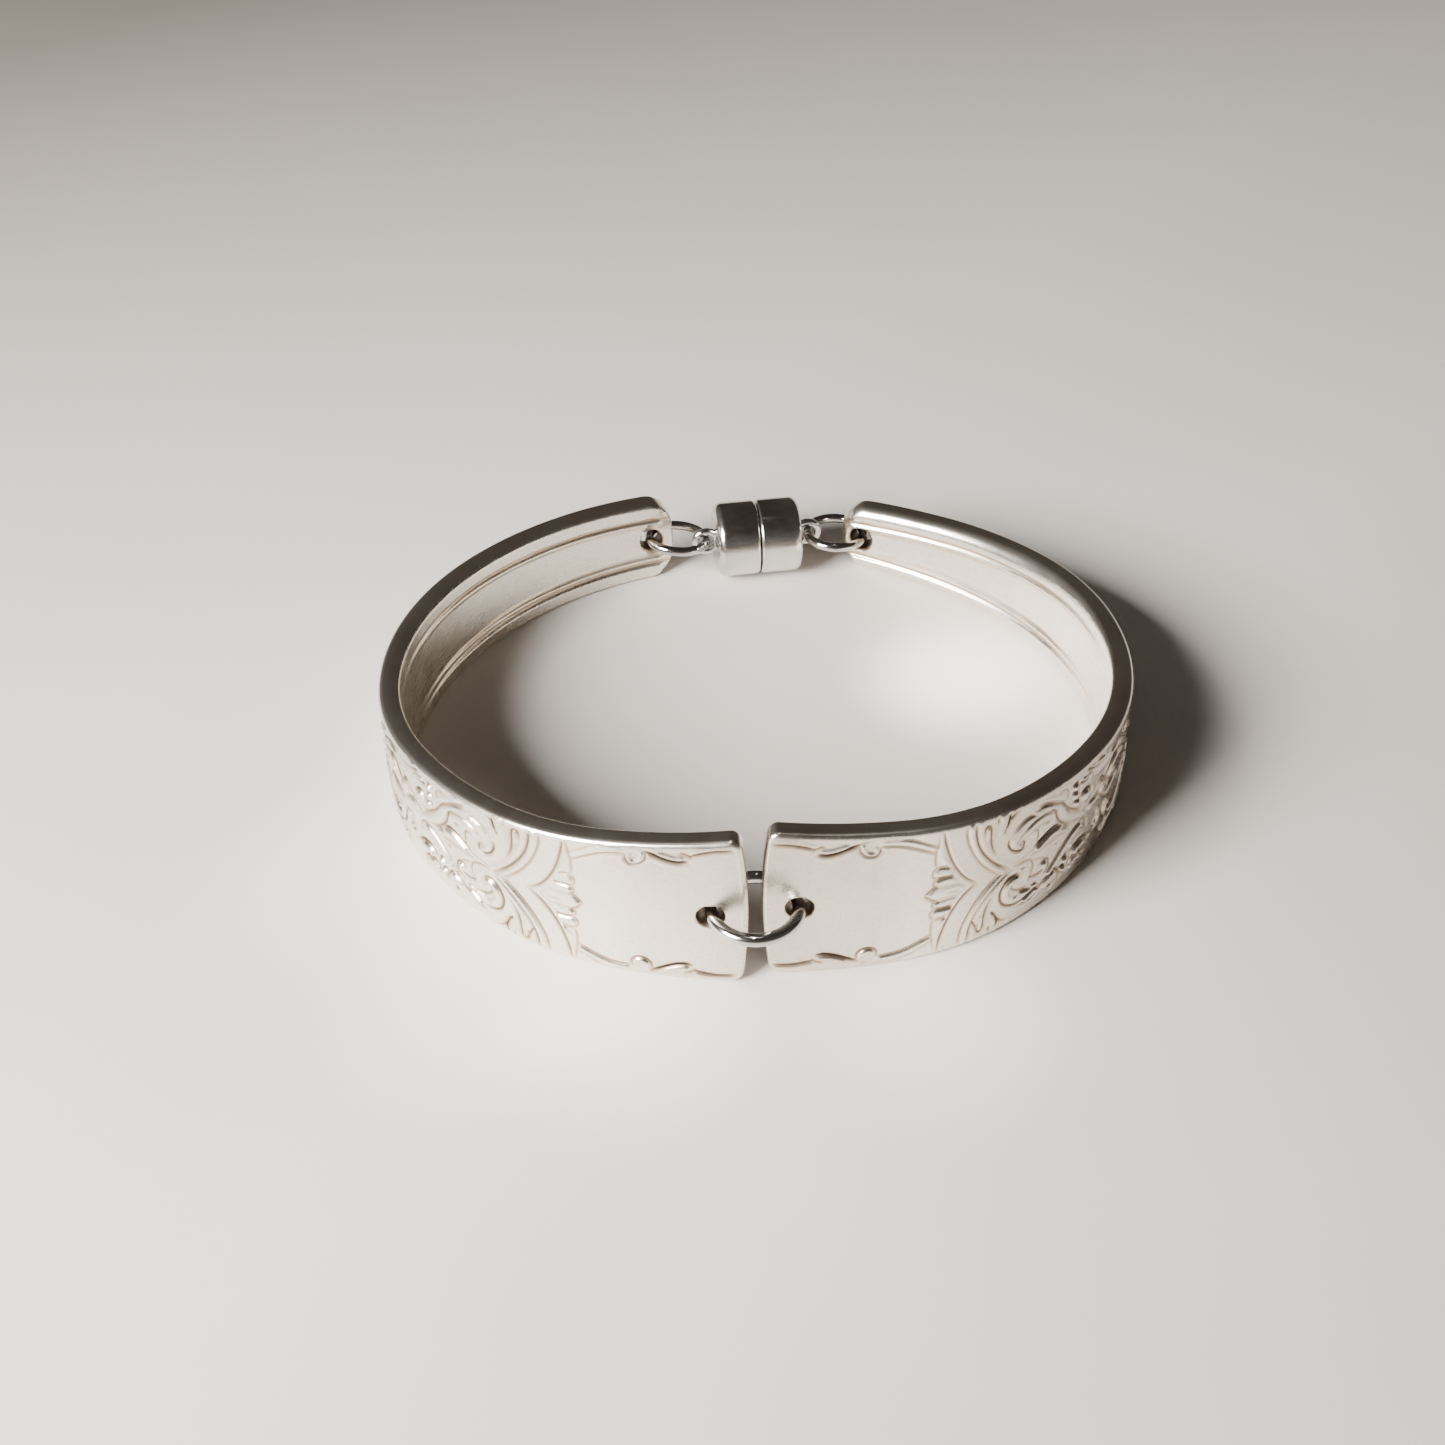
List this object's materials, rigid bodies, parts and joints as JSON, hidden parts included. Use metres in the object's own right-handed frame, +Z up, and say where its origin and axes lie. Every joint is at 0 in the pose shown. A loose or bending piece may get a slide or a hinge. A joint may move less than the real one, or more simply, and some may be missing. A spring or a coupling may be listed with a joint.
{
  "type": "spoon handle bracelet",
  "caption": "Oval bracelet of bent ornamented spoon handles, joined in front by a jump ring and closed behind by a magnetic barrel clasp on small rings.",
  "frame": {"origin": "under the middle of the bracelet's box, on the surface that it lies on", "axes": "+Z up through the wrist hollow, +Y from the front ring back to the clasp, +X to the right seen from the front ring"},
  "size_m": [0.061, 0.059, 0.0144],
  "materials": {
    "silver_plate": "worn satin silver plate with brown tarnish in the ornament's grooves",
    "ring_wire": "bright wire",
    "clasp": "bright with fine scratches"
  },
  "bodies": {
    "left_half": {"left_handle": "silver_plate", "front_ring": "ring_wire", "left_rear_ring": "ring_wire", "left_clasp_half": "clasp"},
    "right_half": {"right_handle": "silver_plate", "right_rear_ring": "ring_wire", "right_clasp_half": "clasp"}
  },
  "joints": [
    {"name": "opening", "type": "hinge", "parent": "left_half", "child": "right_half", "pos_m": [0.00005, -0.02584, 0.00694], "axis": [0, 0, -1], "range_deg": [0, 95]}
  ]
}
